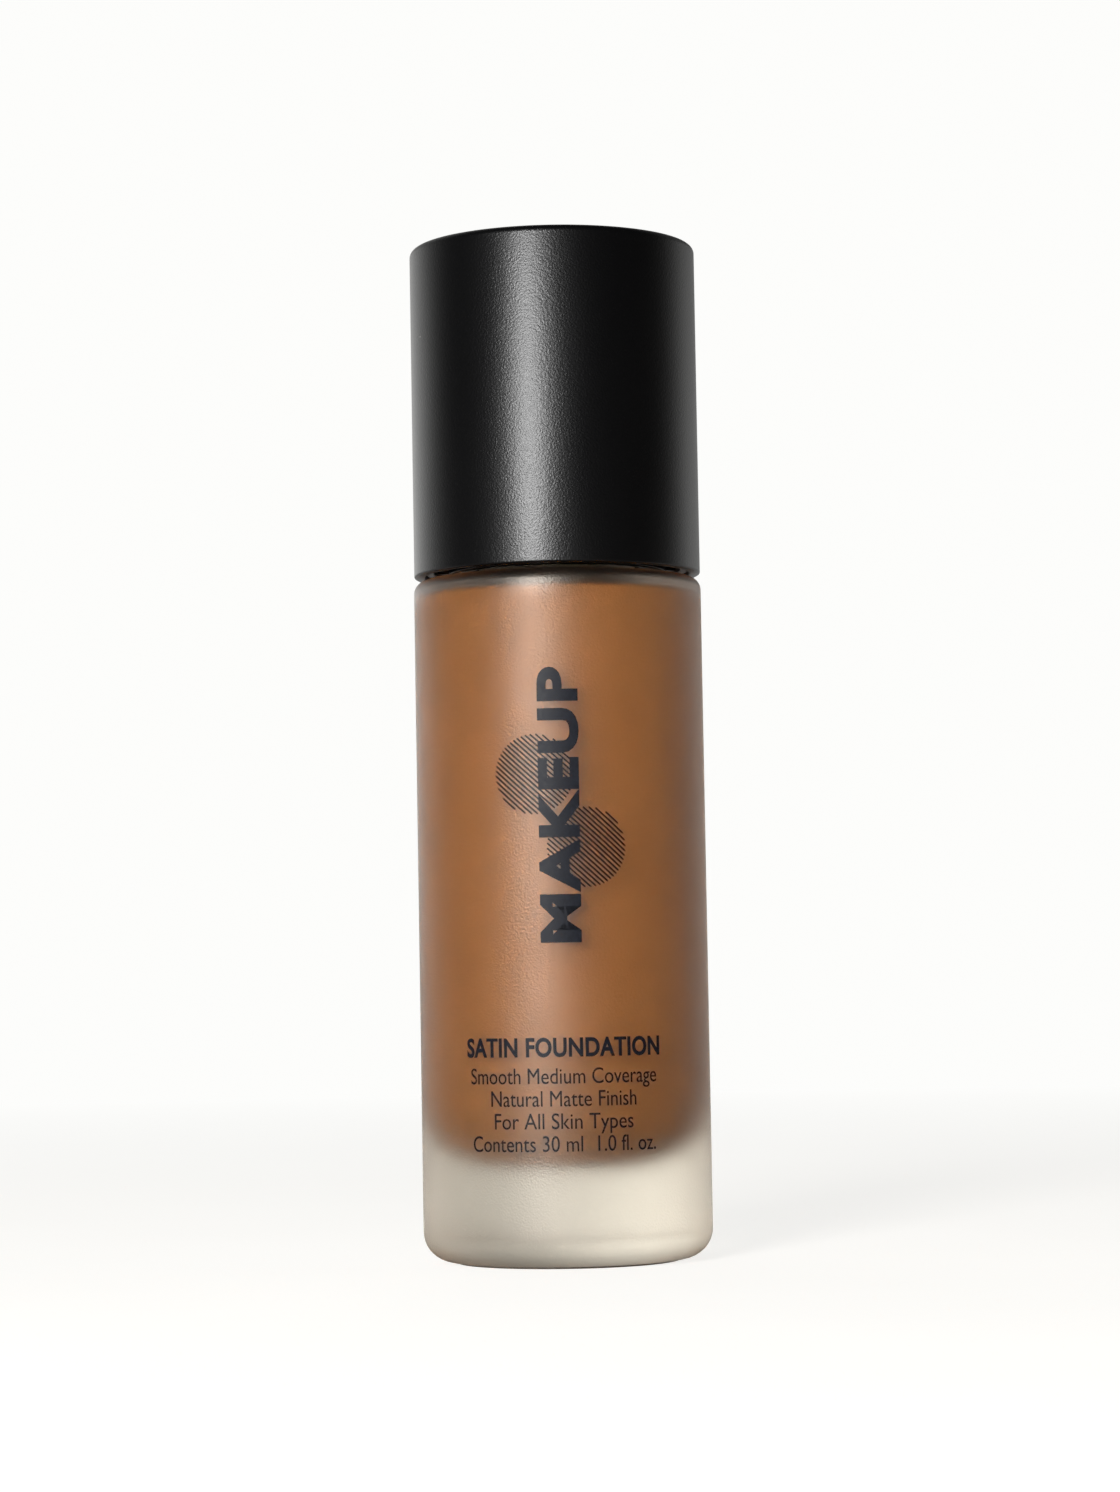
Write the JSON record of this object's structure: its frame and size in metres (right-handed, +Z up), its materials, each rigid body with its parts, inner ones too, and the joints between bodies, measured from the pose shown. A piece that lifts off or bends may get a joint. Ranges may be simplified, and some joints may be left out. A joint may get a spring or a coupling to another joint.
{
  "type": "foundation bottle",
  "caption": "Cylindrical frosted glass bottle of liquid foundation with a screw-on cream pump and a push-on black overcap.",
  "frame": {"origin": "middle of the underside of the round label on the base, at the height of the surface that the bottle stands on", "axes": "+Z up the bottle's axis towards the cap, -Y towards the front, where the print and the pump's nozzle are, +X to the right"},
  "size_m": [0.032, 0.032, 0.1127],
  "materials": {
    "frosted_glass": "acid-etched satin outside, clear inside",
    "foundation_liquid": "thick opaque liquid",
    "label_film": "satin film",
    "cap_black": "fine-grained soft matt",
    "satin_black": "satin moulded plastic",
    "gloss_black": "polished",
    "natural_plastic": "unpigmented, slightly translucent",
    "soft_seal": "soft sealing plastic",
    "spring_steel": "bright drawn wire and polished ball"
  },
  "bodies": {
    "bottle": {"base_label": "label_film", "glass_bottle": "frosted_glass", "foundation_fill": "foundation_liquid"},
    "pump": {"neck_gasket": "soft_seal", "dip_tube": "natural_plastic", "pump_housing": "natural_plastic", "ball_retainer": "natural_plastic", "return_spring": "spring_steel", "stem_guide": "natural_plastic"},
    "closure": {"screw_closure": "satin_black", "collar_sleeve": "gloss_black"},
    "overcap": {"cap_liner": "satin_black", "cap_shell": "cap_black"},
    "plunger": {"valve_poppet": "natural_plastic", "stem": "natural_plastic"},
    "piston_seal": {"piston": "soft_seal"},
    "actuator": {"nozzle_core": "satin_black", "nozzle_insert": "satin_black", "actuator_button": "satin_black"},
    "inlet_valve": {"inlet_ball": "spring_steel"}
  },
  "joints": [
    {"name": "pump_lift", "type": "slide", "parent": "bottle", "child": "pump", "axis": [0, 0, 1], "range_m": [0, 0.0062]},
    {"name": "closure_turn", "type": "hinge", "parent": "pump", "child": "closure", "pos_m": [0, 0, 0.0859], "axis": [0, 0, 1], "range_deg": [0, 720]},
    {"name": "cap_pull", "type": "slide", "parent": "closure", "child": "overcap", "axis": [0, 0, 1], "range_m": [0, 0.04]},
    {"name": "pump_press", "type": "slide", "parent": "pump", "child": "plunger", "axis": [0, 0, 1], "range_m": [-0.0042, 0], "stiffness_N_per_m": 600, "springref_m": 0.008, "deforming": ["return_spring"]},
    {"name": "piston_slip", "type": "slide", "parent": "plunger", "child": "piston_seal", "axis": [0, 0, 1], "range_m": [0, 0.0006]},
    {"name": "actuator_swivel", "type": "hinge", "parent": "plunger", "child": "actuator", "pos_m": [0, 0, 0.1], "axis": [0, 0, 1], "continuous": true},
    {"name": "ball_lift", "type": "slide", "parent": "pump", "child": "inlet_valve", "axis": [0, 0, 1], "range_m": [0, 0.0012]}
  ],
  "couplings": [
    {"joint": "pump_lift", "follows": "closure_turn", "m_per_rad": 0.00047746},
    {"joint": "piston_slip", "follows": "pump_press", "ratio": -0.1428}
  ]
}
